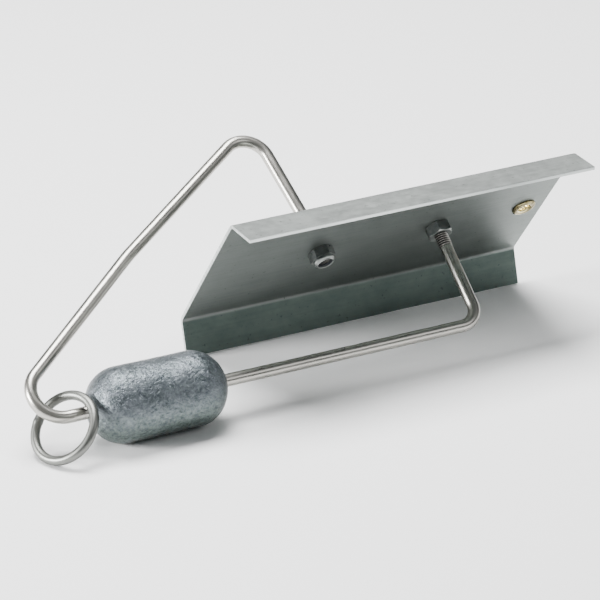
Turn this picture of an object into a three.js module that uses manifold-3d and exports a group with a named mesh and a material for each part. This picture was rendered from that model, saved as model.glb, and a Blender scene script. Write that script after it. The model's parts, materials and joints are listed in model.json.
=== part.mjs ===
// Diving planer for a fishing line: a bent sheet plate on a bent rod, with a lead weight and a tow ring.
// Millimetres. The planer is built in its plate frame and then rolled onto the two places it rests on.
// Plate frame: x runs along the plate towards its tail, y across it, z up from its underside, and the
// rod is bent in the plane y = 0. Row frame: x is the same, and z is up from the ground.
import * as THREE from 'three';
import { mergeVertices } from 'three/addons/utils/BufferGeometryUtils.js';
import Module from 'manifold-3d';

const wasm = await Module();
wasm.setup();

// ---- Driving dimensions ----
const plateLength = 165;
const webWidth = 78; // between the inner corners of the two flanges
const sheet = 1.5;
const flangeWidth = 16.5; // from the inner corner to the free edge, along the slope
const flangeAngle = THREE.MathUtils.degToRad(53.5); // down from the web
const flangeBend = 2.5; // inside radius

const rodDiameter = 5.4;
const legSpacing = 57; // between the two rod holes, about the plate's middle
const crestRise = 66; // the crest above the plate's underside
const crestLead = 6.8; // the crest ahead of the front hole
const crestBend = 10.5;
const kickRise = 11; // the front leg stands square to here, and leans ahead above it
const kickBend = 30;
const bowRise = 16.3; // the slight bend half way down the long leg
const bowReach = 112.6; // ahead of the plate's middle
const bowBend = 60;
const keelDrop = 48.8; // the lower leg below the plate's underside
const noseReach = 199.8; // the corner of the nose ahead of the plate's middle
const noseBend = 11.9;
const heelBend = 9;
const frontEndDrop = 5.4; // the front end of the rod below the plate's underside
const rearEndRise = 9.2; // the rear end of the rod above the plate's underside

const weightDiameter = 32;
const weightLength = 61.6;
const domeDepth = 14.7;
const weightGap = 8.35; // from the end of the nose bend to the weight's nose

const ringBore = 24.5;
const ringWire = 4;
const ringHang = 3.4; // the ring's middle below the lower leg, at rest
const ringSide = -2.2; // the ring's middle beside the lower leg
const ringTuck = 0.6; // how far the ring reaches past the weight's nose, beside it
const ringHeading = THREE.MathUtils.degToRad(198.7); // which way the ring's axis leans

const nutFlats = 10;
const plainNutHeight = 5.1;
const lockHexHeight = 4.3;
const lockNutHeight = 6.5;
const insertThickness = 1.1;
const lipThickness = 0.5;
const collarWall = 0.75;

const eyeletSetback = 10.3; // from the plate's tail edge
const eyeletBore = 5;
const eyeletWall = 0.6;
const eyeletFlange = 11;
const eyeletCurl = 8.6;
const eyeletLip = 1; // how far the flange and the curl stand from the sheet

// ---- Named clearances ----
const seatGap = 0.3; // between faces that touch
const rodGap = 0.3; // around the rod in a nut, an insert or the weight
const holeGap = 0.5; // around the rod in the plate
const ringGap = 0.1; // the ring's lowest point above the ground

const rodRadius = rodDiameter / 2;
const rodBore = rodRadius + rodGap;
const roundSides = 24;

// ---- Materials ----
function finish(color, roughness, metalness) {
  return new THREE.MeshStandardMaterial({ color, roughness, metalness });
}

const sheetSteel = finish(0x8f9690, 0.5, 0.9);
const rodSteel = finish(0xa9a59d, 0.3, 1);
const ringSteel = finish(0x9b9c98, 0.4, 1);
const castLead = finish(0x6d757c, 0.6, 0.7);
const nutSteel = finish(0xa6a8a4, 0.35, 1);
const nylon = finish(0x22282c, 0.6, 0);
const eyeletBrass = finish(0xb8923e, 0.35, 1);

// ---- Joining and cutting ----
function toSolid(geometry) {
  const bare = geometry.clone();
  bare.deleteAttribute('normal');
  bare.deleteAttribute('uv');
  const merged = mergeVertices(bare, 1e-4);
  return new wasm.Manifold(new wasm.Mesh({
    numProp: 3,
    vertProperties: new Float32Array(merged.attributes.position.array),
    triVerts: new Uint32Array(merged.index.array),
  }));
}

function toGeometry(solid) {
  const mesh = solid.getMesh();
  const geometry = new THREE.BufferGeometry();
  geometry.setAttribute('position', new THREE.BufferAttribute(mesh.vertProperties, 3));
  geometry.setIndex(new THREE.BufferAttribute(mesh.triVerts, 1));
  geometry.computeVertexNormals();
  return geometry;
}

// A body turned about z from a closed outline of [radius, z] points.
function turned(outline, sides = roundSides) {
  const points = outline.map(([radius, z]) => new THREE.Vector2(radius, z));
  return new THREE.LatheGeometry(points, sides).rotateX(Math.PI / 2);
}

// ---- The diving plate ----
// The cross section in (y, z): a web on z = 0 with a flange sloping down from each long edge.
function plateSection() {
  const outer = flangeBend + sheet;
  const setback = flangeBend * Math.tan(flangeAngle / 2);
  const bendY = webWidth / 2 - setback;
  const straight = flangeWidth - setback;
  const up = Math.PI / 2;
  const freeEdge = (side, radius) => [
    side * (bendY + radius * Math.sin(flangeAngle) + straight * Math.cos(flangeAngle)),
    radius * Math.cos(flangeAngle) - flangeBend - straight * Math.sin(flangeAngle),
  ];
  const section = new THREE.Shape();
  section.moveTo(...freeEdge(1, flangeBend));
  section.lineTo(...freeEdge(1, outer));
  section.absarc(bendY, -flangeBend, outer, up - flangeAngle, up, false);
  section.absarc(-bendY, -flangeBend, outer, up, up + flangeAngle, false);
  section.lineTo(...freeEdge(-1, outer));
  section.lineTo(...freeEdge(-1, flangeBend));
  section.absarc(-bendY, -flangeBend, flangeBend, up + flangeAngle, up, true);
  section.absarc(bendY, -flangeBend, flangeBend, up, up - flangeAngle, true);
  return section;
}

const frontHoleX = -legSpacing / 2;
const rearHoleX = legSpacing / 2;
const eyeletX = plateLength / 2 - eyeletSetback;
const barrelRadius = eyeletBore / 2 + eyeletWall;

function divingPlate() {
  const sheetBody = new THREE.ExtrudeGeometry(plateSection(), {
    depth: plateLength, bevelEnabled: false, curveSegments: 5,
  });
  // Shape (u, v) and depth w become (y, z) and x.
  const toPlate = new THREE.Matrix4().makeBasis(
    new THREE.Vector3(0, 1, 0), new THREE.Vector3(0, 0, 1), new THREE.Vector3(1, 0, 0));
  sheetBody.applyMatrix4(toPlate).translate(-plateLength / 2, 0, 0);
  let plate = toSolid(sheetBody);
  const holes = [
    [frontHoleX, rodRadius + holeGap],
    [rearHoleX, rodRadius + holeGap],
    [eyeletX, barrelRadius + rodGap],
  ];
  for (const [x, radius] of holes) {
    const drill = new THREE.CylinderGeometry(radius, radius, sheet * 4, roundSides);
    drill.rotateX(Math.PI / 2).translate(x, 0, sheet / 2);
    plate = plate.subtract(toSolid(drill));
  }
  return toGeometry(plate);
}

// ---- The rod ----
// Corners of the rod's centre line in the plane y = 0, with the radius it is bent to at each.
const nosePoint = new THREE.Vector3(-noseReach, 0, -keelDrop);
const rodCorners = [
  { at: new THREE.Vector3(frontHoleX, 0, kickRise), radius: kickBend, steps: 2 },
  { at: new THREE.Vector3(frontHoleX - crestLead, 0, crestRise), radius: crestBend, steps: 14 },
  { at: new THREE.Vector3(-bowReach, 0, bowRise), radius: bowBend, steps: 3 },
  { at: nosePoint, radius: noseBend, steps: 18 },
  { at: new THREE.Vector3(rearHoleX, 0, -keelDrop), radius: heelBend, steps: 10 },
];
const rodStart = new THREE.Vector3(frontHoleX, 0, -frontEndDrop);
const rodEnd = new THREE.Vector3(rearHoleX, 0, rearEndRise);

// The arc that rounds one corner: its centre, its two ends and the angle it turns through.
function bendAt(before, corner, after) {
  const toBefore = before.clone().sub(corner.at).normalize();
  const toAfter = after.clone().sub(corner.at).normalize();
  const half = toBefore.angleTo(toAfter) / 2;
  const run = corner.radius / Math.tan(half);
  const middle = toBefore.clone().add(toAfter).normalize();
  return {
    centre: corner.at.clone().addScaledVector(middle, corner.radius / Math.sin(half)),
    start: corner.at.clone().addScaledVector(toBefore, run),
    end: corner.at.clone().addScaledVector(toAfter, run),
    axis: toAfter.clone().cross(toBefore).normalize(),
    turn: Math.PI - 2 * half,
  };
}

const rodPoints = [rodStart, ...rodCorners.map((corner) => corner.at), rodEnd];
const bends = rodCorners.map((corner, i) => bendAt(rodPoints[i], corner, rodPoints[i + 2]));
const noseArc = bends[3];

// Stations along the rod, each a point and the direction there: two to a leg and several to a bend.
function rodStations() {
  const first = rodPoints[1].clone().sub(rodStart).normalize();
  const stations = [{ at: rodStart, along: first }];
  bends.forEach((bend, i) => {
    const arm = bend.start.clone().sub(bend.centre);
    const ahead = rodPoints[i + 1].clone().sub(rodPoints[i]).normalize();
    for (let k = 0; k <= rodCorners[i].steps; k += 1) {
      const angle = (bend.turn * k) / rodCorners[i].steps;
      stations.push({
        at: arm.clone().applyAxisAngle(bend.axis, angle).add(bend.centre),
        along: ahead.clone().applyAxisAngle(bend.axis, angle),
      });
    }
  });
  const last = rodEnd.clone().sub(rodPoints[rodPoints.length - 2]).normalize();
  stations.push({ at: rodEnd, along: last });
  return stations;
}

// A curve that passes through given stations, one for each equal step of its parameter.
class StationCurve extends THREE.Curve {
  constructor(stations) {
    super();
    this.stations = stations;
  }

  nearest(t) {
    return this.stations[Math.round(t * (this.stations.length - 1))];
  }

  getPoint(t) {
    return this.nearest(t).at.clone();
  }

  getPointAt(t) {
    return this.getPoint(t);
  }

  getSpacedPoints(count) {
    return this.getPoints(count);
  }

  getTangentAt(t) {
    return this.nearest(t).along.clone();
  }
}

function circle(radius) {
  const outline = new THREE.Shape();
  outline.absarc(0, 0, radius, 0, 2 * Math.PI, false);
  return outline;
}

function bailWire() {
  const stations = rodStations();
  return new THREE.ExtrudeGeometry(circle(rodRadius), {
    steps: stations.length - 1,
    curveSegments: 12,
    bevelEnabled: false,
    extrudePath: new StationCurve(stations),
  });
}

// ---- The weight ----
const weightNose = noseArc.end.x + weightGap;
const weightX = weightNose + weightLength / 2;
const weightRadius = weightDiameter / 2;
const domeMouth = Math.asin(rodBore / weightRadius); // where the dome meets the bore

function leadWeight() {
  const halfBarrel = weightLength / 2 - domeDepth;
  const domeSteps = 7;
  const outline = [];
  for (const end of [-1, 1]) {
    for (let k = 0; k <= domeSteps; k += 1) {
      const share = end < 0 ? k / domeSteps : 1 - k / domeSteps;
      const angle = domeMouth + (Math.PI / 2 - domeMouth) * share;
      outline.push([weightRadius * Math.sin(angle), end * (halfBarrel + domeDepth * Math.cos(angle))]);
    }
  }
  outline.push(outline[0]);
  return turned(outline, 32).rotateY(Math.PI / 2);
}

// ---- The tow ring ----
const ringRadius = (ringBore + ringWire) / 2;
const ringHeight = weightRadius - ringHang; // the ring's middle above the ground
const ringLean = Math.asin((ringHeight - ringWire / 2 - ringGap) / ringRadius);
const ringAxis = new THREE.Vector3(
  Math.sin(ringLean) * Math.cos(ringHeading),
  Math.sin(ringLean) * Math.sin(ringHeading),
  Math.cos(ringLean));
const ringReach = ringRadius * Math.sqrt(1 - ringAxis.x ** 2) + ringWire / 2; // along x, each way

function towRing() {
  return new THREE.TorusGeometry(ringRadius, ringWire / 2, 10, 40);
}

// ---- Nuts: each stands on z = 0 and is screwed on from above ----
function hexBody(height) {
  const corner = nutFlats / Math.sqrt(3);
  return toSolid(new THREE.CylinderGeometry(corner, corner, height, 6)
    .rotateX(Math.PI / 2).translate(0, 0, height / 2));
}

function chamferedHex(height, bothEnds) {
  const corner = nutFlats / Math.sqrt(3);
  const cut = corner - nutFlats / 2;
  const drop = cut * Math.tan(Math.PI / 6) * 1.6;
  const outline = [[0, 0], [nutFlats / 2, 0], [corner + 0.01, drop]];
  if (bothEnds) outline.push([corner + 0.01, height - drop], [nutFlats / 2, height]);
  else outline.push([corner + 0.01, height]);
  outline.push([0, height]);
  return hexBody(height).intersect(toSolid(turned(outline, 36)));
}

function plainNut() {
  const bore = toSolid(new THREE.CylinderGeometry(rodBore, rodBore, plainNutHeight * 3, roundSides)
    .rotateX(Math.PI / 2));
  return toGeometry(chamferedHex(plainNutHeight, true).subtract(bore));
}

const insertRadius = nutFlats / 2 - collarWall - seatGap;
const pocketFloor = lockNutHeight - lipThickness - insertThickness - 2 * seatGap;

// The collar above the hexagon holds the insert under a lip that is rolled in.
function lockNut() {
  const collar = nutFlats / 2 - 0.2;
  const shoulder = lockNutHeight - 1.1;
  const outside = toSolid(turned([
    [0, lockHexHeight - 0.6], [collar, lockHexHeight - 0.6], [collar, shoulder],
    [collar - 0.35, lockNutHeight - 0.3], [collar - 0.95, lockNutHeight], [0, lockNutHeight],
  ]));
  const lipBore = insertRadius - 0.35;
  const hollow = toSolid(turned([
    [0, -1], [rodBore, -1], [rodBore, pocketFloor], [insertRadius + seatGap, pocketFloor],
    [insertRadius + seatGap, lockNutHeight - lipThickness], [lipBore, lockNutHeight - lipThickness],
    [lipBore, lockNutHeight + 1], [0, lockNutHeight + 1],
  ]));
  return toGeometry(chamferedHex(lockHexHeight, false).add(outside).subtract(hollow));
}

function lockInsert() {
  const low = pocketFloor + seatGap;
  const high = low + insertThickness;
  return turned([
    [rodBore, low], [insertRadius, low], [insertRadius, high], [rodBore, high], [rodBore, low],
  ]);
}

// ---- The eyelet: a flange under the plate and a rolled curl on top of it ----
function lineEyelet() {
  const bore = eyeletBore / 2;
  const under = -seatGap;
  const over = sheet + seatGap;
  const rim = eyeletFlange / 2;
  const curl = eyeletCurl / 2;
  return turned([
    [bore, 0], [bore + 0.45, under - eyeletLip], [rim - 0.7, under - eyeletLip],
    [rim - 0.15, under - 0.5], [rim, under], [barrelRadius, under], [barrelRadius, over], [curl, over],
    [curl, over + 0.4], [curl - 0.6, over + eyeletLip], [bore + 0.5, over + eyeletLip],
    [bore, sheet], [bore, 0],
  ]);
}

// ---- Assembly ----
// The planer rests on the free edge of one flange and on the weight: the roll that brings both down.
function restRoll() {
  const setback = flangeBend * Math.tan(flangeAngle / 2);
  const reach = flangeWidth - setback;
  const outer = flangeBend + sheet;
  const edgeY = webWidth / 2 - setback + outer * Math.sin(flangeAngle) + reach * Math.cos(flangeAngle);
  const edgeZ = outer * Math.cos(flangeAngle) - flangeBend - reach * Math.sin(flangeAngle);
  const rise = edgeZ + keelDrop;
  return Math.acos(-weightRadius / Math.hypot(edgeY, rise)) - Math.atan2(edgeY, rise);
}

const planer = new THREE.Group();

function place(name, geometry, material, x, y, z) {
  const mesh = new THREE.Mesh(geometry, material);
  mesh.name = name;
  mesh.position.set(x, y, z);
  planer.add(mesh);
  return mesh;
}

place('diving_plate', divingPlate(), sheetSteel, 0, 0, 0);
place('bail_wire', bailWire(), rodSteel, 0, 0, 0);
place('lead_weight', leadWeight(), castLead, weightX, 0, -keelDrop);
place('line_eyelet', lineEyelet(), eyeletBrass, eyeletX, 0, 0);

// Fasteners on top of the plate stand up from it, and those under it hang down.
const overPlate = sheet + seatGap;
const underPlate = -seatGap;

function fasten(name, geometry, material, x, seat) {
  const mesh = place(name, geometry, material, x, 0, seat);
  mesh.rotation.x = seat < 0 ? Math.PI : 0;
}

fasten('front_plain_nut', plainNut(), nutSteel, frontHoleX, overPlate);
fasten('front_lock_nut', lockNut(), nutSteel, frontHoleX, underPlate);
fasten('front_lock_insert', lockInsert(), nylon, frontHoleX, underPlate);
fasten('rear_plain_nut', plainNut(), nutSteel, rearHoleX, underPlate);
fasten('rear_lock_nut', lockNut(), nutSteel, rearHoleX, overPlate);
fasten('rear_lock_insert', lockInsert(), nylon, rearHoleX, overPlate);

const roll = restRoll();
planer.rotation.x = -roll;

// The ring leans on the ground with the lower leg through it, against the nose of the weight.
const ring = new THREE.Mesh(towRing(), ringSteel);
ring.name = 'tow_ring';
ring.quaternion.setFromUnitVectors(new THREE.Vector3(0, 0, 1), ringAxis);
ring.position.set(
  weightNose - ringReach + ringTuck,
  -keelDrop * Math.sin(roll) + ringSide,
  -keelDrop * Math.cos(roll) - ringHang);

const part = new THREE.Group();
part.add(planer, ring);

// The origin goes to the middle of the part's footprint, on the ground.
part.updateMatrixWorld(true);
const box = new THREE.Box3().setFromObject(part, true);
part.position.set(-(box.min.x + box.max.x) / 2, -(box.min.y + box.max.y) / 2, -box.min.z);

export default part;
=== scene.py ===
"""Diving planer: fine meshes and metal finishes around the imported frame.

Pieces are drawn in the plate frame, in metres: x along the plate towards its tail, y across it, z up from
the web's underside, with the rod bent in the plane y = 0. The frame's hinge tells where that frame lies:
its axis is the plate's y, and it passes through the middle of the rod's nose bend.
"""

import json
import math

import bmesh
import bpy
from mathutils import Matrix, Vector, noise


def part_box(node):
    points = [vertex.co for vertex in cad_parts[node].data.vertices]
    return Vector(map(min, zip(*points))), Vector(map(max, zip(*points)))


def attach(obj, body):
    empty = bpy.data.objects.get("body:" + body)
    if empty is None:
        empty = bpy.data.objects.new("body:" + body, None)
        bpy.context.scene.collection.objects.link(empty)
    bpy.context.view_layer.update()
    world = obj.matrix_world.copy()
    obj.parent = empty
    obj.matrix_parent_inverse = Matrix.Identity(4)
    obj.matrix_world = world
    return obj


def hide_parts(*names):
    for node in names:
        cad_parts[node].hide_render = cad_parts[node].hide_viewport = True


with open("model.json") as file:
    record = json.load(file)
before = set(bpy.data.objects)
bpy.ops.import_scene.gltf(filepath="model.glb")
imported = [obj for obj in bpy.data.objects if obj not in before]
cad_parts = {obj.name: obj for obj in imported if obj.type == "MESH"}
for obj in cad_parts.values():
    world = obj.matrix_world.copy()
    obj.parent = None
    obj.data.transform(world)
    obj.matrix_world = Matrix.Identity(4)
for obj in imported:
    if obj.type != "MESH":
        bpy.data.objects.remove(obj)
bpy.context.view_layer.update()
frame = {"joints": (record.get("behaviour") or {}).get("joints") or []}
MM = 0.001

# ---- Sizes, as the CAD model has them ----
PLATE_LENGTH = 165 * MM
WEB_WIDTH = 78 * MM
SHEET = 1.5 * MM
FLANGE_WIDTH = 16.5 * MM
FLANGE_ANGLE = math.radians(53.5)
FLANGE_BEND = 2.5 * MM
EDGE_ROUND = 0.22 * MM

ROD_RADIUS = 2.7 * MM
FRONT_HOLE_X = -28.5 * MM
REAR_HOLE_X = 28.5 * MM
ROD_HOLE = 2 * ROD_RADIUS + 1 * MM
KEEL_DROP = 48.8 * MM
FRONT_END = -5.4 * MM
REAR_END = 9.2 * MM
ROD_CORNERS = (  # x, z and bend radius
    (FRONT_HOLE_X, 11 * MM, 30 * MM),
    (FRONT_HOLE_X - 6.8 * MM, 66 * MM, 10.5 * MM),
    (-112.6 * MM, 16.3 * MM, 60 * MM),
    (-199.8 * MM, -KEEL_DROP, 11.9 * MM),
    (REAR_HOLE_X, -KEEL_DROP, 9 * MM),
)
NOSE_CORNER = 3
THREAD_PITCH = 1.0 * MM
THREAD_CREST = 0.27 * MM  # above the rod's surface, as a rolled thread is
THREAD_ROOT = -0.26 * MM
ROOT_SHADE_EXTRA = 0.12 * MM  # painted shade: how much deeper than it is the thread looks, by darkening towards its roots
FRONT_THREAD_TOP = 13.5 * MM  # the thread's end above the web's underside
REAR_THREAD_FOOT = -11.2 * MM

NUT_FLATS = 10 * MM
PLAIN_NUT = 5.1 * MM
LOCK_HEX = 4.3 * MM
LOCK_NUT = 6.5 * MM
NUT_EDGE = 0.12 * MM
EYELET_X = PLATE_LENGTH / 2 - 10.3 * MM
EYELET_BORE = 5 * MM
EYELET_FLANGE = 11 * MM
EYELET_CURL = 8.6 * MM
EYELET_LIP = 1.2 * MM
EYELET_HOLE = 6.8 * MM  # in the plate


# ---- The rod's centre line ----
def bend_at(before, corner, after, radius):
    """The arc that rounds a corner: its centre, its start, the axis it turns about and its angle."""
    to_before = (before - corner).normalized()
    to_after = (after - corner).normalized()
    half = to_before.angle(to_after) / 2
    middle = (to_before + to_after).normalized()
    return {
        "centre": corner + middle * (radius / math.sin(half)),
        "start": corner + to_before * (radius / math.tan(half)),
        "axis": to_after.cross(to_before).normalized(),
        "turn": math.pi - 2 * half,
        "radius": radius,
    }


ROD_POINTS = (
    [Vector((FRONT_HOLE_X, 0, FRONT_END))]
    + [Vector((x, 0, z)) for x, z, _ in ROD_CORNERS]
    + [Vector((REAR_HOLE_X, 0, REAR_END))]
)
BENDS = [
    bend_at(ROD_POINTS[i], ROD_POINTS[i + 1], ROD_POINTS[i + 2], corner[2])
    for i, corner in enumerate(ROD_CORNERS)
]


def straight(start, end, step):
    """Points from start up to but not including end, no further apart than step."""
    count = max(1, math.ceil((end - start).length / step))
    return [start.lerp(end, k / count) for k in range(count)]


def rod_line(leg_step, bend_step, thread_step):
    """Points and directions along the rod, close together on its threads and bends."""
    line = []
    here = ROD_POINTS[0]
    ahead = (ROD_POINTS[1] - here).normalized()
    for i, bend in enumerate(BENDS):
        step = thread_step if i == 0 else leg_step
        line += [(point, ahead) for point in straight(here, bend["start"], step)]
        steps = max(2, math.ceil(bend["turn"] * bend["radius"] / bend_step))
        arm = bend["start"] - bend["centre"]
        for k in range(steps):
            turn = Matrix.Rotation(bend["turn"] * k / steps, 3, bend["axis"])
            line.append((bend["centre"] + turn @ arm, turn @ ahead))
        turn = Matrix.Rotation(bend["turn"], 3, bend["axis"])
        here = bend["centre"] + turn @ arm
        ahead = turn @ ahead
    foot = Vector((REAR_HOLE_X, 0, REAR_THREAD_FOOT - THREAD_PITCH))
    line += [(p, ahead) for p in straight(here, foot, leg_step)]
    line += [(p, ahead) for p in straight(foot, ROD_POINTS[-1], thread_step)]
    line.append((ROD_POINTS[-1], ahead))
    return line


# ---- The plate frame in the row frame ----
hinge = frame["joints"][0]
across = Vector(hinge["axis"]).normalized()
along = Vector((1, 0, 0))
upright = along.cross(across)
plate_axes = Matrix((along, across, upright)).transposed()
nose_middle = BENDS[NOSE_CORNER]["centre"]
PLATE_FRAME = Matrix.Translation(Vector(hinge["pos_m"]) - plate_axes @ nose_middle) @ plate_axes.to_4x4()


# ---- Materials ----
class Nodes:
    """A material's node tree, with short ways to add a node and to join two."""

    def __init__(self, name):
        self.material = bpy.data.materials.new(name)
        self.material.use_nodes = True
        self.tree = self.material.node_tree
        self.shader = self.tree.nodes["Principled BSDF"]

    def add(self, kind, inputs=None, **settings):
        node = self.tree.nodes.new("ShaderNode" + kind)
        for key, value in settings.items():
            setattr(node, key, value)
        for key, value in (inputs or {}).items():
            if isinstance(value, bpy.types.NodeSocket):
                self.tree.links.new(value, node.inputs[key])
            else:
                node.inputs[key].default_value = value
        return node

    def link(self, output, socket):
        self.tree.links.new(output, self.shader.inputs[socket])

    def place(self, scale, attribute=None):
        """Coordinates stretched by scale: the piece's own, or those of a mesh attribute."""
        if attribute:
            source = self.add("Attribute", attribute_name=attribute).outputs["Vector"]
        else:
            source = self.add("TexCoord").outputs["Object"]
        return self.add("Mapping", {"Vector": source, "Scale": scale}).outputs["Vector"]

    def noise(self, vector, scale, detail=4, rough=0.55, distortion=0.0):
        settings = {"Vector": vector, "Scale": scale, "Detail": detail, "Roughness": rough,
                    "Distortion": distortion}
        return self.add("TexNoise", settings).outputs["Fac"]

    def ramp(self, factor, *stops):
        """A colour ramp through (position, colour) stops. A bare number is a grey."""
        node = self.add("ValToRGB", {"Fac": factor})
        elements = node.color_ramp.elements
        while len(elements) < len(stops):
            elements.new(0.5)
        for element, (position, colour) in zip(elements, stops):
            element.position = position
            if not isinstance(colour, tuple):
                colour = (colour, colour, colour)
            element.color = (*colour, 1)
        return node.outputs["Color"]

    def blend(self, factor, a, b, mode="MIX"):
        node = self.add("Mix", data_type="RGBA", blend_type=mode)
        for index, value in ((0, factor), (6, a), (7, b)):
            if isinstance(value, bpy.types.NodeSocket):
                self.tree.links.new(value, node.inputs[index])
            else:
                node.inputs[index].default_value = value if index == 0 else (*value, 1)
        return node.outputs[2]

    def bump(self, *layers):
        """Stacked bump from (height, distance in metres) pairs."""
        normal = None
        for height, distance in layers:
            inputs = {"Height": height, "Distance": distance, "Strength": 1.0}
            if normal is not None:
                inputs["Normal"] = normal
            normal = self.add("Bump", inputs).outputs["Normal"]
        self.link(normal, "Normal")


def sheet_metal():
    """Mill-finish sheet: faint rolling lines, cloudy stains, specks, bright sheared edges, and painted
    shade inside the flanges and under the web.
    """
    n = Nodes("sheet_metal")
    fine = n.noise(n.place((14, 700, 700), "grain"), 1.0, 3)
    broad = n.noise(n.place((45, 70, 70), "grain"), 1.0, 5, 0.6)
    cloud = n.noise(n.place((260, 300, 300), "grain"), 1.0, 4, 0.6)
    specks = n.noise(n.place((620, 620, 620), "grain"), 1.0, 2)
    scratch = n.noise(n.place((26, 700, 300), "grain"), 1.0, 2, 0.4, 1.2)
    cut = n.add("Attribute", attribute_name="cut").outputs["Fac"]
    darkened = n.add("Attribute", attribute_name="darkened").outputs["Fac"]
    base = n.ramp(broad, (0.3, (0.20, 0.226, 0.211)), (0.7, (0.275, 0.305, 0.285)))
    base = n.blend(0.3, base, n.ramp(fine, (0.3, 0.21), (0.7, 0.33)))
    base = n.blend(0.2, base, n.ramp(cloud, (0.35, 0.19), (0.65, 0.33)))
    # painted shade: a darker, greener tone laid on inside the flanges and under the web
    shade_tint = n.ramp(broad, (0.3, (0.37, 0.46, 0.435)), (0.7, (0.43, 0.52, 0.49)))
    painted_shade_colour = n.blend(1.0, base, shade_tint, "MULTIPLY")
    base = n.blend(darkened, base, painted_shade_colour)
    base = n.blend(0.6, base, n.ramp(specks, (0.27, 0.4), (0.34, 1.0)), "MULTIPLY")
    base = n.blend(cut, base, n.ramp(fine, (0.3, (0.32, 0.345, 0.335)), (0.7, (0.66, 0.69, 0.68))))
    n.link(base, "Base Color")
    rough = n.blend(0.5, n.ramp(broad, (0.3, 0.38), (0.7, 0.50)), n.ramp(cloud, (0.3, 0.34), (0.7, 0.54)))
    rough = n.blend(cut, rough, n.ramp(fine, (0.3, 0.28), (0.7, 0.40)))
    n.link(rough, "Roughness")
    n.shader.inputs["Metallic"].default_value = 0.9
    n.bump((broad, 0.0001), (cloud, 0.00002), (fine, 0.000008),
           (n.ramp(scratch, (0.66, 0.0), (0.70, 1.0)), 0.00001))
    return n.material


def drawn_rod(name, tint, rough_low, rough_high, drawn):
    """Drawn stainless: lines along the wire, smears where it was handled, and painted shade in the thread
    roots.
    """
    n = Nodes(name)
    lines = n.noise(n.place((2.2, 2.2, 25), "grain"), 3.2, 4)
    smear = n.noise(n.place((0.7, 0.7, 90), "grain"), 1.0, 4, 0.6, 0.6)
    pits = n.noise(n.place((8, 8, 1400), "grain"), 1.0, 2)
    low = tuple(c * 0.80 for c in tint)
    base = n.ramp(lines, (0.3, low), (0.65, tint))
    base = n.blend(0.35, base, n.ramp(smear, (0.35, tuple(c * 0.72 for c in tint)), (0.65, tint)))
    painted_root_shade = n.add("Attribute", attribute_name="painted_root_shade").outputs["Fac"]
    # painted shade: the threads are darkened towards their roots
    base = n.blend(1.0, base, n.ramp(painted_root_shade, (0.0, 1.0), (0.45, 0.30), (1.0, 0.06)), "MULTIPLY")
    n.link(base, "Base Color")
    rough = n.blend(0.5, n.ramp(lines, (0.3, rough_low), (0.7, rough_high)),
                    n.ramp(smear, (0.35, rough_low), (0.7, rough_high)))
    n.link(rough, "Roughness")
    n.shader.inputs["Metallic"].default_value = 1.0
    n.bump((lines, drawn), (pits, 0.000008))
    return n.material


def cast_lead():
    """Cast lead: blue-grey skin with dark pocks and wrinkles, and a painted reflection of the floor's
    bounce: a speckled, greener grey low down.
    """
    n = Nodes("cast_lead")
    blotch = n.noise(n.place((75, 75, 75)), 1.0, 6, 0.62, 0.5)
    patch = n.noise(n.place((150, 190, 190)), 1.0, 5, 0.65, 1.2)
    grain = n.noise(n.place((620, 620, 620)), 1.0, 5, 0.7)
    wrinkle = n.noise(n.place((210, 330, 330)), 1.0, 4, 0.6, 3.0)
    pock = n.noise(n.place((700, 900, 900)), 1.0, 3, 0.5, 0.8)
    height = n.add("SeparateXYZ", {"Vector": n.add("TexCoord").outputs["Object"]}).outputs["Z"]
    bounce_low_down = n.add("MapRange", {"Value": height, "From Min": 0.020, "From Max": 0.009}).outputs["Result"]
    base = n.ramp(blotch, (0.30, (0.055, 0.066, 0.082)), (0.50, (0.105, 0.12, 0.147)),
                  (0.72, (0.175, 0.19, 0.222)))
    base = n.blend(0.45, base, n.ramp(wrinkle, (0.38, (0.018, 0.022, 0.028)), (0.60, (0.21, 0.225, 0.26))))
    base = n.blend(0.35, base, n.ramp(patch, (0.40, (0.03, 0.037, 0.046)), (0.60, (0.24, 0.255, 0.29))))
    # painted reflection: the floor's greener bounce, speckled, laid on the lower part
    painted_bounce = n.ramp(grain, (0.36, (0.034, 0.052, 0.046)), (0.64, (0.195, 0.245, 0.218)))
    base = n.blend(n.ramp(bounce_low_down, (0.0, 0.28), (1.0, 0.72)), base, painted_bounce)
    base = n.blend(0.55, base, n.ramp(pock, (0.31, 0.25), (0.40, 1.0)), "MULTIPLY")
    n.link(base, "Base Color")
    rough = n.blend(0.5, n.ramp(grain, (0.3, 0.25), (0.7, 0.48)), n.ramp(patch, (0.3, 0.25), (0.7, 0.46)))
    n.link(rough, "Roughness")
    n.shader.inputs["Metallic"].default_value = 0.85
    n.bump((blotch, 0.0007), (wrinkle, 0.00028), (patch, 0.00018), (grain, 0.00015),
           (n.ramp(pock, (0.33, 0.0), (0.42, 1.0)), 0.00010))
    return n.material


def nut_steel():
    """Cold-formed stainless nut: darker flats, with a painted highlight on its ends and chamfered corners,
    which are coloured lighter.
    """
    n = Nodes("nut_steel")
    cloud = n.noise(n.place((300, 300, 300)), 1.0, 4)
    fine = n.noise(n.place((1800, 1800, 1800)), 1.0, 3)
    turned = n.add("Attribute", attribute_name="turned").outputs["Fac"]
    flats = n.ramp(cloud, (0.3, (0.13, 0.14, 0.14)), (0.7, (0.24, 0.25, 0.245)))
    painted_glint_ends = n.ramp(cloud, (0.3, (0.22, 0.235, 0.225)), (0.7, (0.38, 0.395, 0.38)))
    # painted highlight: the ends and corners take the lighter colour
    n.link(n.blend(turned, flats, painted_glint_ends), "Base Color")
    n.link(n.ramp(cloud, (0.3, 0.26), (0.7, 0.42)), "Roughness")
    n.shader.inputs["Metallic"].default_value = 1.0
    n.bump((cloud, 0.00005), (fine, 0.00001))
    return n.material


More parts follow.
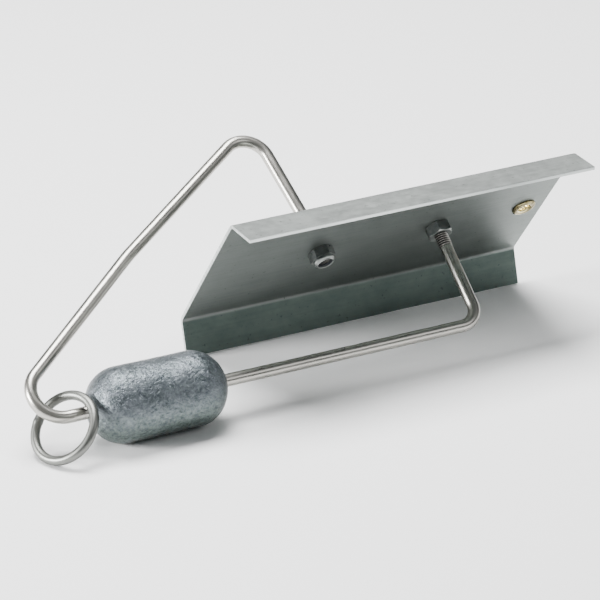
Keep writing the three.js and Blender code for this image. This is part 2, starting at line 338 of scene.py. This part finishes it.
def brass():
    """Pressed brass: brown tarnish in patches, worn bright where the line rubs."""
    n = Nodes("eyelet_brass")
    tarnish = n.noise(n.place((260, 260, 260)), 1.0, 5, 0.6)
    fine = n.noise(n.place((1600, 1600, 1600)), 1.0, 3)
    worn = n.add("Attribute", attribute_name="worn").outputs["Fac"]
    darkened = n.ramp(tarnish, (0.36, (0.13, 0.105, 0.045)), (0.62, (0.36, 0.31, 0.17)))
    bright = n.ramp(tarnish, (0.36, (0.62, 0.50, 0.22)), (0.62, (0.92, 0.82, 0.50)))
    n.link(n.blend(worn, darkened, bright), "Base Color")
    n.link(n.ramp(tarnish, (0.3, 0.42), (0.6, 0.2)), "Roughness")
    n.shader.inputs["Metallic"].default_value = 1.0
    n.bump((tarnish, 0.00004), (fine, 0.000008))
    return n.material


def nylon():
    """Nylon coloured near black as painted shade for the lock nut's recess, faintly cloudy."""
    n = Nodes("nylon")
    cloud = n.noise(n.place((500, 500, 500)), 1.0, 3)
    # painted shade: near black for the shade inside the lock nut's recess
    n.link(n.ramp(cloud, (0.3, (0.013, 0.018, 0.022)), (0.7, (0.024, 0.030, 0.036))), "Base Color")
    n.link(n.ramp(cloud, (0.3, 0.42), (0.7, 0.58)), "Roughness")
    n.bump((cloud, 0.00003))
    return n.material


def pale_floor():
    """Plain pale card, very faintly uneven."""
    n = Nodes("pale_floor")
    cloud = n.noise(n.place((3, 3, 3)), 1.0, 2)
    n.link(n.ramp(cloud, (0.3, 0.895), (0.7, 0.91)), "Base Color")
    n.shader.inputs["Roughness"].default_value = 0.7
    return n.material


SHEET_METAL = sheet_metal()
ROD_METAL = drawn_rod("rod_metal", (0.46, 0.445, 0.41), 0.25, 0.36, 0.00001)
RING_METAL = drawn_rod("ring_metal", (0.20, 0.205, 0.192), 0.36, 0.48, 0.00001)
LEAD = cast_lead()
NUT_METAL = nut_steel()
BRASS = brass()
RECESS_SHADE_NYLON = nylon()


# ---- Making pieces ----
def add_piece(name, mesh, material, body, node, sharp, axes=PLATE_FRAME):
    """Puts a mesh in its place and has it stand for a CAD node. Edges over sharp degrees stay crisp."""
    mesh.transform(axes)
    mesh.shade_smooth()
    mesh.set_sharp_from_angle(angle=math.radians(sharp))
    mesh.materials.clear()
    mesh.materials.append(material)
    piece = bpy.data.objects.new(name, mesh)
    bpy.context.scene.collection.objects.link(piece)
    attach(piece, body)
    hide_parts(node)


def mesh_from(name, points, faces):
    """A mesh whose faces all look outwards."""
    mesh = bpy.data.meshes.new(name)
    mesh.from_pydata([tuple(p) for p in points], [], faces)
    mesh.validate()
    tidy = bmesh.new()
    tidy.from_mesh(mesh)
    bmesh.ops.recalc_face_normals(tidy, faces=tidy.faces)
    tidy.to_mesh(mesh)
    tidy.free()
    return mesh


def set_grain(mesh, values):
    """Where each vertex lies along and around the drawn or rolled metal, for its material."""
    grain = mesh.attributes.new("grain", "FLOAT_VECTOR", "POINT")
    for item, value in zip(grain.data, values):
        item.vector = value


def mark(mesh, name, domain, values):
    """A number for each vertex or face, for the piece's material."""
    numbers = mesh.attributes.new(name, "FLOAT", domain)
    for item, value in zip(numbers.data, values):
        item.value = value


def tube(rows, closed=False):
    """Faces that join rows of equal length, with caps unless the rows close on themselves."""
    sides = len(rows[0])
    points = [p for row in rows for p in row]
    faces = []
    for i in range(len(rows) if closed else len(rows) - 1):
        a, b = i * sides, ((i + 1) % len(rows)) * sides
        for j in range(sides):
            k = (j + 1) % sides
            faces.append((a + j, a + k, b + k, b + j))
    if not closed:
        faces.append(tuple(range(sides)))
        faces.append(tuple(range(len(points) - 1, len(points) - 1 - sides, -1)))
    return points, faces


def lathe(outline, sides):
    """Rows of points for a closed outline of (radius, z) turned about z."""
    rows = []
    for k in range(sides):
        angle = 2 * math.pi * k / sides
        rows.append([Vector((r * math.cos(angle), r * math.sin(angle), z)) for r, z in outline])
    return tube(rows, closed=True)


def arc(centre, radius, start, end, steps):
    """Points on an arc in (radius, z) or (y, z), by angles in degrees."""
    points = []
    for k in range(steps + 1):
        angle = math.radians(start + (end - start) * k / steps)
        points.append((centre[0] + radius * math.cos(angle), centre[1] + radius * math.sin(angle)))
    return points


def modified(name, mesh, kind, settings):
    """The mesh after a modifier."""
    carrier = bpy.data.objects.new(name, mesh)
    bpy.context.scene.collection.objects.link(carrier)
    modifier = carrier.modifiers.new(kind, kind)
    for key, value in settings.items():
        setattr(modifier, key, value)
    view = bpy.context.evaluated_depsgraph_get()
    result = bpy.data.meshes.new_from_object(carrier.evaluated_get(view))
    bpy.data.objects.remove(carrier)
    return result


def soften(mesh, width, segments, angle):
    """The mesh with its edges rounded, where they are sharper than an angle in degrees."""
    settings = {"width": width, "segments": segments, "limit_method": "ANGLE"}
    settings["angle_limit"] = math.radians(angle)
    return modified("soft", mesh, "BEVEL", settings)


def cutter(name, points, faces):
    """A solid for a boolean, which is removed once it has been used."""
    tool = bpy.data.objects.new(name, mesh_from(name, points, faces))
    bpy.context.scene.collection.objects.link(tool)
    return tool


def round_bar(radius, low, high, sides, x=0.0):
    """An upright prism between two heights."""
    rows = []
    for z in (low, high):
        angles = (2 * math.pi * k / sides for k in range(sides))
        rows.append([Vector((x + radius * math.cos(a), radius * math.sin(a), z)) for a in angles])
    return tube(rows)


def boolean(mesh, name, tool, operation="DIFFERENCE"):
    settings = {"object": tool, "operation": operation, "solver": "EXACT"}
    result = modified(name, mesh, "BOOLEAN", settings)
    bpy.data.objects.remove(tool)
    return result


# ---- The diving plate ----
BEND_SETBACK = FLANGE_BEND * math.tan(FLANGE_ANGLE / 2)
BEND_Y = WEB_WIDTH / 2 - BEND_SETBACK


def plate_outline():
    """The section in (y, z), from the free edge at +y over the top and back underneath."""
    slope = math.degrees(FLANGE_ANGLE)
    reach = FLANGE_WIDTH - BEND_SETBACK
    run = Vector((math.cos(FLANGE_ANGLE), -math.sin(FLANGE_ANGLE)))
    beside = 0.4 * MM  # a row of points beside each bend keeps the flats shaded flat
    half = []
    for radius in (FLANGE_BEND + SHEET, FLANGE_BEND):
        curve = arc((BEND_Y, -FLANGE_BEND), radius, 90 - slope, 90, 10)
        flat = [(curve[0][0] + run.x * far, curve[0][1] + run.y * far) for far in (reach, beside)]
        half.append(flat + curve + [(BEND_Y - beside, curve[-1][1])])
    top = half[0] + [(-y, z) for y, z in reversed(half[0])]
    under = [(-y, z) for y, z in half[1]] + list(reversed(half[1]))
    return top + under


def sheet_grain(point):
    """Distance along the sheet and across it, as if it were flattened."""
    side = 1 if point.y > 0 else -1
    over = max(0.0, abs(point.y) - BEND_Y)
    down = max(0.0, SHEET - point.z) if over else 0.0
    return (point.x, side * (min(abs(point.y), BEND_Y) + math.hypot(over, down)), point.z * 0.1)


def cut_edge(face):
    """1 on the sheared edges of the plate and their rounded corners, and 0 on its faces."""
    side = math.copysign(1, face.center.y)
    along_flange = side * face.normal.y * math.cos(FLANGE_ANGLE) - face.normal.z * math.sin(FLANGE_ANGLE)
    far_out = abs(face.center.y) > BEND_Y + 6 * MM
    return 1.0 if abs(face.normal.x) > 0.4 or (far_out and along_flange > 0.4) else 0.0


def painted_shade_amount(vertex):
    """How much painted shade the skin gets: full inside the flanges, a little under the web, none on a bend
    or outside.
    """
    if vertex.normal.z > 0:
        return 0.0
    turned = math.atan2(abs(vertex.co.y) - BEND_Y, vertex.co.z + FLANGE_BEND) / FLANGE_ANGLE
    if turned < 0.02:
        return 0.35
    return min(1.0, max(0.0, (turned - 0.55) / 0.4))


def make_plate():
    """The section swept along the plate, drilled and with its edges rounded."""
    rows = []
    for x in (-PLATE_LENGTH / 2, PLATE_LENGTH / 2):
        rows.append([Vector((x, y, z)) for y, z in plate_outline()])
    mesh = mesh_from("plate", *tube(rows))
    holes = (
        (FRONT_HOLE_X, ROD_HOLE / 2),
        (REAR_HOLE_X, ROD_HOLE / 2),
        (EYELET_X, EYELET_HOLE / 2),
    )
    for x, radius in holes:
        drill = cutter("drill", *round_bar(radius, -4 * MM, 6 * MM, 48, x))
        mesh = boolean(mesh, "plate", drill)
    mesh = soften(mesh, EDGE_ROUND, 3, 40)
    set_grain(mesh, [sheet_grain(v.co) for v in mesh.vertices])
    # where the painted shade falls: inside the flanges and under the web
    mark(mesh, "darkened", "POINT", [painted_shade_amount(vertex) for vertex in mesh.vertices])
    mark(mesh, "cut", "FACE", [cut_edge(face) for face in mesh.polygons])
    add_piece("sheet_plate", mesh, SHEET_METAL, "planer", "diving_plate", 12)


# ---- The rod ----
ROD_SIDES = 40


def thread_height(distance, turn):
    """The surface of a rolled thread above the rod, at a distance along it and a turn in circles."""
    phase = (distance / THREAD_PITCH - turn) % 1.0
    down_flank = min(1.0, max(0.0, 2.6 * abs(phase - 0.5) - 0.15))  # 0 on the crest and 1 in the root
    return THREAD_CREST + (THREAD_ROOT - THREAD_CREST) * down_flank


def thread_share(point, i, count):
    """How fully the thread is formed at a point, 0 to 1, and the share of the radius its tip leaves."""
    if point.z > FRONT_END - MM and abs(point.x - FRONT_HOLE_X) < MM and i < count / 2:
        tip, run_out = point.z - FRONT_END, FRONT_THREAD_TOP - point.z
    elif abs(point.x - REAR_HOLE_X) < MM and i > count / 2:
        tip, run_out = REAR_END - point.z, point.z - REAR_THREAD_FOOT
    else:
        return 0.0, 1.0
    formed = min(1.0, max(0.0, run_out / (1.2 * THREAD_PITCH)))
    chamfer = 1.0 - 0.16 * max(0.0, 1 - tip / (0.8 * MM))
    return formed, chamfer


def make_rod():
    """Rings of points along the rod's line, raised and lowered where they are threaded."""
    line = rod_line(2.5 * MM, 0.7 * MM, THREAD_PITCH / 8)
    rows, grain, root_shade_values = [], [], []
    distance = 0.0
    for i, (point, ahead) in enumerate(line):
        if i:
            distance += (point - line[i - 1][0]).length
        side = ahead.cross(Vector((0, 1, 0)))
        formed, chamfer = thread_share(point, i, len(line))
        wobble = 0.03 * MM * noise.noise(Vector((distance / (14 * MM), 0, 3)))
        row = []
        for k in range(ROD_SIDES):
            turn = k / ROD_SIDES
            angle = 2 * math.pi * turn
            height = thread_height(distance, turn)
            # painted shade for the thread, stronger the deeper the point lies
            root_shade_values.append(formed * (THREAD_CREST + ROOT_SHADE_EXTRA - height) / (THREAD_CREST - THREAD_ROOT))
            radius = (ROD_RADIUS + wobble + formed * height) * chamfer
            offset = side * math.cos(angle) + Vector((0, 1, 0)) * math.sin(angle)
            row.append(point + offset * radius)
            grain.append((math.cos(angle), math.sin(angle), distance))
        rows.append(row)
    mesh = mesh_from("rod", *tube(rows))
    set_grain(mesh, grain)
    mark(mesh, "painted_root_shade", "POINT", root_shade_values)
    add_piece("bent_rod", mesh, ROD_METAL, "planer", "bail_wire", 50)


# ---- The weight ----
WEIGHT_RADIUS = 16 * MM
WEIGHT_LENGTH = 61.6 * MM
DOME = 14.7 * MM
SEAM_RISE = 0.22 * MM
SEAM_WIDTH = math.radians(1.6)
weight_low, weight_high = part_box("lead_weight")
WEIGHT_X = (PLATE_FRAME.inverted() @ ((weight_low + weight_high) / 2)).x


def weight_profile(share):
    """Radius and place along the axis, from the nose end at share 0 to the tail end at 1."""
    barrel = WEIGHT_LENGTH / 2 - DOME
    dome_run = math.pi / 2 * (WEIGHT_RADIUS + DOME) / 2
    length = 2 * (dome_run + barrel)
    gone = share * length
    side = -1 if gone < length / 2 else 1
    from_end = min(gone, length - gone)
    if from_end < dome_run:
        angle = from_end / dome_run * math.pi / 2
        return WEIGHT_RADIUS * math.sin(angle), side * (barrel + DOME * math.cos(angle))
    return WEIGHT_RADIUS, side * (barrel - (from_end - dome_run))


def weight_relief(place, angle, radius):
    """How far the casting's skin stands off its true shape: hollows, lumps and the mould's seam."""
    relief = 0.34 * MM * (noise.noise(place / (19 * MM)) - 0.2)
    relief += 0.10 * MM * noise.noise(place / (5 * MM) + Vector((7, 0, 0)))
    relief += 0.035 * MM * noise.noise(place / (1.6 * MM) + Vector((0, 11, 0)))
    fade = min(1.0, radius / (6 * MM))
    from_seam = min(abs(angle - math.pi / 2), abs(angle - 3 * math.pi / 2))
    rough_edge = 0.7 + 0.5 * noise.noise(Vector((place.x / (4 * MM), angle // math.pi, 0)))
    seam = SEAM_RISE * rough_edge * math.exp(-((from_seam / SEAM_WIDTH) ** 2))
    return fade * (min(relief, 0.0) + seam)


def make_weight():
    """A domed capsule with a bore for the rod, and the marks of its casting."""
    stations, sides = 120, 180
    bore = ROD_RADIUS + 0.05 * MM
    first = next(k for k in range(stations) if weight_profile(k / stations)[0] > bore)
    rows = []
    for k in range(first, stations + 1 - first):
        radius, x = weight_profile(k / stations)
        row = []
        for j in range(sides):
            angle = 2 * math.pi * j / sides
            place = Vector((x, radius * math.cos(angle), radius * math.sin(angle)))
            out = radius + weight_relief(place, angle, radius)
            row.append(Vector((x, out * math.cos(angle), out * math.sin(angle))))
        rows.append(row)
    for x in (rows[-1][0].x, rows[0][0].x):
        angles = [2 * math.pi * j / sides for j in range(sides)]
        rows.append([Vector((x, bore * math.cos(a), bore * math.sin(a))) for a in angles])
    mesh = mesh_from("weight", *tube(rows, closed=True))
    spot = PLATE_FRAME @ Matrix.Translation((WEIGHT_X, 0, -KEEL_DROP))
    add_piece("cast_weight", mesh, LEAD, "planer", "lead_weight", 60, spot)


# ---- The tow ring ----
RING_WIRE = 2 * MM
RING_RADIUS = 14.25 * MM


def ring_axes():
    """The ring's own frame. How far its circle reaches each way tells how its axis leans."""
    low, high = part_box("tow_ring")
    reach = [(high[i] - low[i]) / 2 - RING_WIRE for i in range(3)]
    leans = [math.sqrt(max(0.0, 1 - (r / RING_RADIUS) ** 2)) for r in reach]
    axis = Vector((-leans[0], -leans[1], leans[2])).normalized()
    turn = Vector((0, 0, 1)).rotation_difference(axis)
    return Matrix.Translation((low + high) / 2) @ turn.to_matrix().to_4x4()


def make_ring():
    """A round wire ring with the bead of its butt weld."""
    turns, sides = 144, 28
    rows, grain = [], []
    weld = math.radians(118)
    for k in range(turns):
        angle = 2 * math.pi * k / turns
        away = abs((angle - weld + math.pi) % (2 * math.pi) - math.pi) * RING_RADIUS
        bead = 0.16 * MM * math.exp(-((away / (0.9 * MM)) ** 2))
        row = []
        for j in range(sides):
            around = 2 * math.pi * j / sides
            radius = RING_WIRE + bead + 0.015 * MM * noise.noise(Vector((k * 0.3, j * 0.4, 5)))
            out = RING_RADIUS + radius * math.cos(around)
            row.append(Vector((out * math.cos(angle), out * math.sin(angle), radius * math.sin(around))))
            grain.append((math.cos(around), math.sin(around), angle * RING_RADIUS))
        rows.append(row)
    mesh = mesh_from("ring", *tube(rows, closed=True))
    set_grain(mesh, grain)
    add_piece("welded_ring", mesh, RING_METAL, "ring", "tow_ring", 60, ring_axes())


# ---- Nuts ----
def nut_body(height, both_ends):
    """A hexagon whose corners are turned off at 30 degrees."""
    corner = NUT_FLATS / math.sqrt(3) + 0.02 * MM
    washer = NUT_FLATS / 2 - 0.15 * MM
    drop = (corner - washer) * math.tan(math.radians(30))
    outline = [(0.3 * MM, 0), (washer, 0), (corner, drop)]
    if both_ends:
        outline += [(corner, height - drop), (washer, height)]
    else:
        outline += [(corner, height)]
    outline += [(0.3 * MM, height)]
    turned = cutter("turned", *lathe(outline, 96))
    hexagon = mesh_from("nut", *round_bar(NUT_FLATS / math.sqrt(3), 0, height, 6))
    return boolean(hexagon, "nut", turned, "INTERSECT")


def thread_bore(height, radius, chamfer):
    """A solid shaped like a nut's threaded bore, with a countersink at each end."""
    steps = round(height / (THREAD_PITCH / 8))
    rows, sides = [], 48
    for k in range(-8, steps + 9):
        z = height * k / steps
        depth = min(z, height - z)
        flare = max(0.0, chamfer - max(depth, 0.0)) if depth < chamfer else 0.0
        row = []
        for j in range(sides):
            turn = j / sides
            phase = (z / THREAD_PITCH - turn) % 1.0
            ridge = 0.28 * MM * abs(2 * phase - 1)
            r = max(radius + ridge, radius + flare)
            row.append(Vector((r * math.cos(2 * math.pi * turn), r * math.sin(2 * math.pi * turn), z)))
        rows.append(row)
    return tube(rows)


NUT_BORE = ROD_RADIUS + 0.05 * MM


def glint_face(face):
    """1 on a nut's ends and corners, which get a painted highlight, and 0 on its flats and in its bore."""
    off_axis = math.hypot(face.center.x, face.center.y)
    return 1.0 if abs(face.normal.z) > 0.2 and off_axis > NUT_BORE + 0.35 * MM else 0.0


def make_plain_nut():
    """A hexagon chamfered at both ends."""
    mesh = soften(nut_body(PLAIN_NUT, True), NUT_EDGE, 2, 25)
    mesh = boolean(mesh, "nut", cutter("bore", *thread_bore(PLAIN_NUT, NUT_BORE, 0.5 * MM)))
    mark(mesh, "turned", "FACE", [glint_face(face) for face in mesh.polygons])
    return mesh


def make_lock_nut():
    """A hexagon with a round collar, whose lip is rolled in over the insert."""
    mesh = soften(nut_body(LOCK_HEX, False), NUT_EDGE, 2, 25)
    collar = NUT_FLATS / 2 - 0.2 * MM
    shoulder = LOCK_NUT - 1.5 * MM
    lip, seat = 3.45 * MM, 3.9 * MM
    outline = [(2 * MM, LOCK_HEX - 0.6 * MM), (collar, LOCK_HEX - 0.6 * MM)]
    outline += arc((collar - 1.1 * MM, shoulder), 1.1 * MM, 0, 62, 8)
    outline += arc((lip + 0.32 * MM, LOCK_NUT - 0.32 * MM), 0.32 * MM, 75, 200, 12)
    outline += [(lip, LOCK_NUT - 0.5 * MM), (seat, LOCK_NUT - 0.55 * MM)]
    outline += [(seat, LOCK_HEX + 0.1 * MM), (2 * MM, LOCK_HEX + 0.1 * MM)]
    mesh = boolean(mesh, "nut", cutter("collar", *lathe(outline, 96)), "UNION")
    mesh = boolean(mesh, "nut", cutter("bore", *thread_bore(LOCK_HEX + 0.1 * MM, NUT_BORE, 0.5 * MM)))
    mark(mesh, "turned", "FACE", [glint_face(face) for face in mesh.polygons])
    return mesh


def make_insert():
    """The nylon ring, rounded where the rod enters it."""
    low, high = LOCK_HEX + 0.15 * MM, LOCK_NUT - 0.6 * MM
    bore = ROD_RADIUS + 0.12 * MM
    outline = [(bore, low), (3.85 * MM, low), (3.85 * MM, high)]
    outline += arc((bore + 0.35 * MM, high - 0.35 * MM), 0.35 * MM, 90, 180, 6)
    return mesh_from("insert", *lathe(outline, 64))


def add_fasteners():
    """The nuts of each leg. Those under the plate hang from it upside down."""
    on_top = Matrix.Translation((0, 0, SHEET + 0.02 * MM))
    under = Matrix.Translation((0, 0, -0.02 * MM)) @ Matrix.Rotation(math.pi, 4, "X")
    lock_turn = Matrix.Rotation(math.radians(20), 4, "Z")
    plain_turn = Matrix.Rotation(math.radians(-8), 4, "Z")
    legs = (("front", FRONT_HOLE_X, under, on_top), ("rear", REAR_HOLE_X, on_top, under))
    for leg, x, lock_side, plain_side in legs:
        spot = PLATE_FRAME @ Matrix.Translation((x, 0, 0))
        pieces = (
            ("lock_nut", make_lock_nut(), NUT_METAL, "nut_steel", lock_side @ lock_turn),
            ("lock_insert", make_insert(), RECESS_SHADE_NYLON, "nylon", lock_side),
            ("plain_nut", make_plain_nut(), NUT_METAL, "nut_steel", plain_side @ plain_turn),
        )
        for kind, mesh, material, slot, side in pieces:
            name = f"{leg}_{kind}"
            add_piece("fine_" + name, mesh, material, "planer", name, 14, spot @ side)


# ---- The eyelet ----
def make_eyelet():
    """A flange that trumpets out of the bore under the plate, and a rolled curl on top."""
    bore = EYELET_BORE / 2
    rim = EYELET_FLANGE / 2
    curl = EYELET_CURL / 2
    outline = arc((bore + EYELET_LIP, -0.05 * MM), EYELET_LIP, 180, 270, 10)
    crest = bore + EYELET_LIP
    for k in range(1, 11):  # the crest rounds off down to the rim
        turn = math.radians(9 * k)
        outline.append((crest + (rim - crest) * math.sin(turn), -0.35 * MM - 0.9 * MM * math.cos(turn)))
    wall, gap = bore + 0.6 * MM, 0.02 * MM
    outline += [(rim - 0.1 * MM, -gap), (wall, -gap), (wall, SHEET + gap), (curl, SHEET + gap)]
    outline += arc((curl - 0.55 * MM, SHEET + 0.5 * MM), 0.55 * MM, 0, 90, 8)
    outline += arc((bore + 0.9 * MM, SHEET + 0.15 * MM), 0.9 * MM, 90, 180, 8)
    mesh = mesh_from("eyelet", *lathe(outline, 96))
    off_axis = [math.hypot(vertex.co.x, vertex.co.y) for vertex in mesh.vertices]
    mark(mesh, "worn", "POINT", [1.0 if r < bore + 0.7 * MM else 0.0 for r in off_axis])
    spot = PLATE_FRAME @ Matrix.Translation((EYELET_X, 0, 0))
    add_piece("pressed_eyelet", mesh, BRASS, "planer", "line_eyelet", 40, spot)


# ---- Camera, floor and lights ----
def add_camera():
    """A long lens, seen from the front and to the left of the nose."""
    data = bpy.data.cameras.new("camera")
    data.lens = 225.3
    data.sensor_width = 36
    data.clip_end = 20
    azimuth, elevation, distance = math.radians(-27.61), math.radians(23.82), 1.5946
    aim = Vector((8.17, 0.0, 27.83)) * MM
    flat = math.cos(elevation)
    back = Vector((math.sin(azimuth) * flat, -math.cos(azimuth) * flat, math.sin(elevation)))
    turn = back.to_track_quat("Z", "Y").to_matrix().to_4x4() @ Matrix.Rotation(math.radians(-0.604), 4, "Z")
    camera = bpy.data.objects.new("camera", data)
    camera.matrix_world = Matrix.Translation(aim + back * distance) @ turn
    bpy.context.scene.collection.objects.link(camera)
    bpy.context.scene.camera = camera


def add_light(name, place, aim, size, power):
    data = bpy.data.lights.new(name, "AREA")
    data.shape = "RECTANGLE"
    data.size, data.size_y = size
    data.energy = power
    light = bpy.data.objects.new(name, data)
    light.location = place
    light.rotation_euler = (Vector(place) - Vector(aim)).to_track_quat("Z", "Y").to_euler()
    bpy.context.scene.collection.objects.link(light)


def add_stage():
    """A pale floor under soft lights."""
    half = 6.0
    corners = [(-half, -half, 0), (half, -half, 0), (half, half, 0), (-half, half, 0)]
    mesh = mesh_from("floor", corners, [(0, 1, 2, 3)])
    mesh.materials.append(pale_floor())
    floor = bpy.data.objects.new("floor", mesh)
    floor.location.z = -0.0002
    bpy.context.scene.collection.objects.link(floor)
    world = bpy.data.worlds.new("studio")
    world.use_nodes = True
    world.node_tree.nodes["Background"].inputs["Color"].default_value = (0.78, 0.84, 0.86, 1)
    world.node_tree.nodes["Background"].inputs["Strength"].default_value = 0.21
    bpy.context.scene.world = world
    add_light("overhead", (-0.02, 0.30, 1.25), (0, 0, 0), (0.9, 0.7), 50)
    add_light("back_wall", (0.9, 1.45, 0.80), (0, 0, 0.05), (1.6, 0.7), 4)
    add_light("left", (-1.35, 0.25, 0.40), (-0.1, 0, 0.03), (0.5, 0.4), 52)
    add_light("front", (0.62, -0.96, 0.92), (0, 0, 0.03), (0.8, 0.4), 3)


make_plate()
make_rod()
make_weight()
make_ring()
add_fasteners()
make_eyelet()
add_camera()
add_stage()
